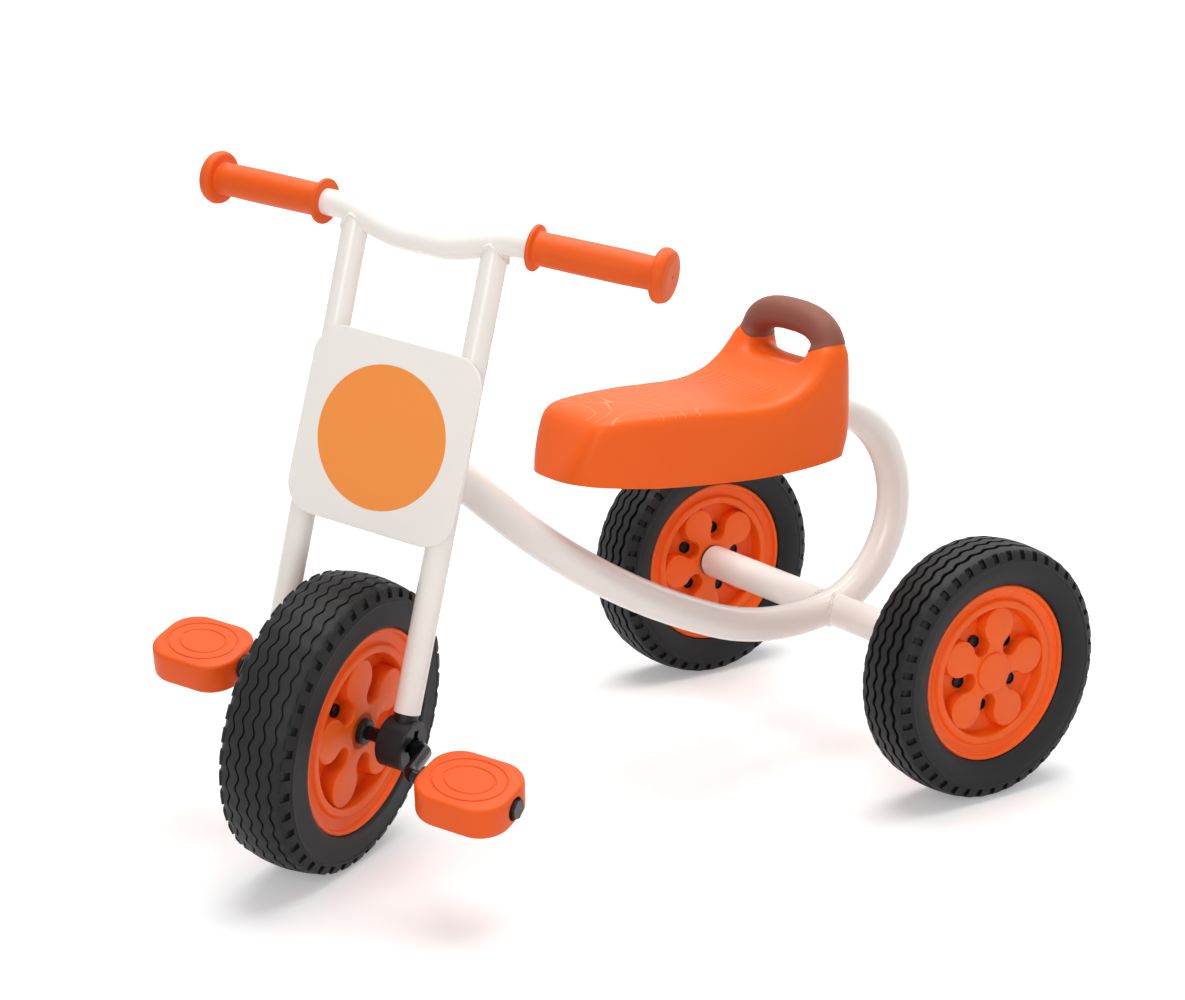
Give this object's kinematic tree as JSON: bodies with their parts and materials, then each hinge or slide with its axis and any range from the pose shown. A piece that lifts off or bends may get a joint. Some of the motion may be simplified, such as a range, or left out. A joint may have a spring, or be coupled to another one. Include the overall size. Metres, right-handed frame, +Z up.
{
  "type": "children's tricycle",
  "caption": "Children's pedal tricycle with a bent steel tube frame, raked fork, moulded seat with a carry handle, crank pedals on the front wheel and spoked plastic wheels.",
  "frame": {"origin": "on the floor, at the middle of the standing tricycle's bounding box; X = 0 is the frame's middle plane", "axes": "+Z up, the rider faces -Y along the tricycle's length, the rider's left is +X"},
  "size_m": [0.4716, 0.7886, 0.5754],
  "materials": {
    "painted_tube": "gloss",
    "steel": "zinc plated",
    "black_steel": "gloss",
    "black_plastic": "satin",
    "brown_grip": "matte",
    "orange_grip": "satin",
    "orange_plastic": "semi-gloss",
    "tyre": "matte"
  },
  "bodies": {
    "frame": {"main_tube": "painted_tube", "head_tube": "painted_tube", "head_bush_upper": "black_plastic", "head_bush_lower": "black_plastic", "axle_tube_left": "painted_tube", "axle_tube_right": "painted_tube", "rear_axle_shaft": "steel", "axle_end_bush_left": "black_plastic", "axle_end_bush_right": "black_plastic", "rear_axle_washers": "steel", "rear_axle_nuts": "steel", "seat_shell": "orange_plastic", "seat_handle_grip": "brown_grip", "seat_bracket_front": "painted_tube", "seat_bracket_rear": "painted_tube", "seat_screws": "steel", "main_tube_plug": "black_plastic"},
    "fork": {"fork_leg_left": "painted_tube", "fork_leg_right": "painted_tube", "handlebar_tube": "painted_tube", "grip_left": "orange_grip", "grip_right": "orange_grip", "yoke_upper": "painted_tube", "yoke_lower": "painted_tube", "steering_pin": "steel", "steering_nut": "steel", "front_plate": "painted_tube", "front_plate_strips": "painted_tube", "front_plate_studs": "steel", "fork_end_left": "black_plastic", "fork_end_right": "black_plastic", "crank_bush_left": "black_plastic", "crank_bush_right": "black_plastic", "fork_end_screws": "steel"},
    "front_wheel": {"crank_rod": "black_steel", "hub_collar_left": "black_plastic", "hub_collar_right": "black_plastic", "pedal_nuts": "steel", "front_rim_left": "orange_plastic", "front_rim_right": "orange_plastic", "front_tyre": "tyre", "front_rim_screws": "steel"},
    "pedal_left": {"pedal_block_left": "orange_plastic", "pedal_bush_inner_left": "black_plastic", "pedal_bush_outer_left": "black_plastic"},
    "pedal_right": {"pedal_block_right": "orange_plastic", "pedal_bush_inner_right": "black_plastic", "pedal_bush_outer_right": "black_plastic"},
    "rear_wheel_left": {"rear_rim_outer_left": "orange_plastic", "rear_rim_inner_left": "orange_plastic", "rear_tyre_left": "tyre", "rear_rim_screws_left": "steel", "rear_wheel_bushes_left": "black_plastic", "rear_hub_cap_left": "orange_plastic"},
    "rear_wheel_right": {"rear_rim_outer_right": "orange_plastic", "rear_rim_inner_right": "orange_plastic", "rear_tyre_right": "tyre", "rear_rim_screws_right": "steel", "rear_wheel_bushes_right": "black_plastic", "rear_hub_cap_right": "orange_plastic"}
  },
  "joints": [
    {"name": "steering", "type": "hinge", "parent": "frame", "child": "fork", "pos_m": [0, -0.17143, 0.3397], "axis": [0, 0.2355, 0.9719], "range_deg": [-79.2, 20.8]},
    {"name": "front_wheel_spin", "type": "hinge", "parent": "fork", "child": "front_wheel", "pos_m": [0.02783, -0.27453, 0.12566], "axis": [0.8729, 0.4741, -0.1149], "continuous": true},
    {"name": "pedal_left_spin", "type": "hinge", "parent": "front_wheel", "child": "pedal_left", "pos_m": [0.19014, -0.24327, 0.10826], "axis": [0.8729, 0.4741, -0.1149], "continuous": true},
    {"name": "pedal_right_spin", "type": "hinge", "parent": "front_wheel", "child": "pedal_right", "pos_m": [-0.13971, -0.30864, 0.14374], "axis": [0.8729, 0.4741, -0.1149], "continuous": true},
    {"name": "rear_wheel_left_spin", "type": "hinge", "parent": "frame", "child": "rear_wheel_left", "pos_m": [0.2052, 0.27837, 0.116], "axis": [1, 0, 0], "continuous": true},
    {"name": "rear_wheel_right_spin", "type": "hinge", "parent": "frame", "child": "rear_wheel_right", "pos_m": [-0.2052, 0.27837, 0.116], "axis": [1, 0, 0], "continuous": true}
  ]
}
